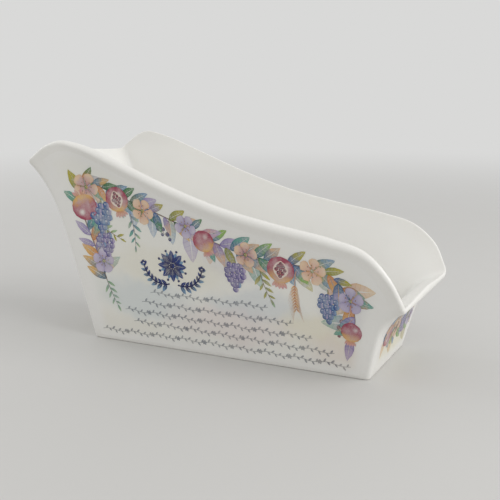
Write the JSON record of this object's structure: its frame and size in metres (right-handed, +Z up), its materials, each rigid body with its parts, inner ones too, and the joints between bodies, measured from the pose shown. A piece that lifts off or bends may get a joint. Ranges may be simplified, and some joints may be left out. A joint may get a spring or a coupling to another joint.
{
  "type": "matzah stand",
  "caption": "Open, boat-shaped trough with a flared lip, high at one end and low at the other, that holds flatbreads upright on edge.",
  "frame": {"origin": "on the table under the middle of the stand's bounding box", "axes": "+X towards the low end, +Y from the wall that the picture shows to the one behind it, +Z up"},
  "size_m": [0.2788, 0.1222, 0.1472],
  "materials": {
    "moulding": "smooth glossy white melamine",
    "printed_foil": "printed paper foil under clear gloss melamine"
  },
  "bodies": {
    "root": {"trough": "moulding", "front_foil": "printed_foil", "low_end_foil": "printed_foil", "back_foil": "printed_foil", "high_end_foil": "printed_foil"}
  },
  "joints": []
}
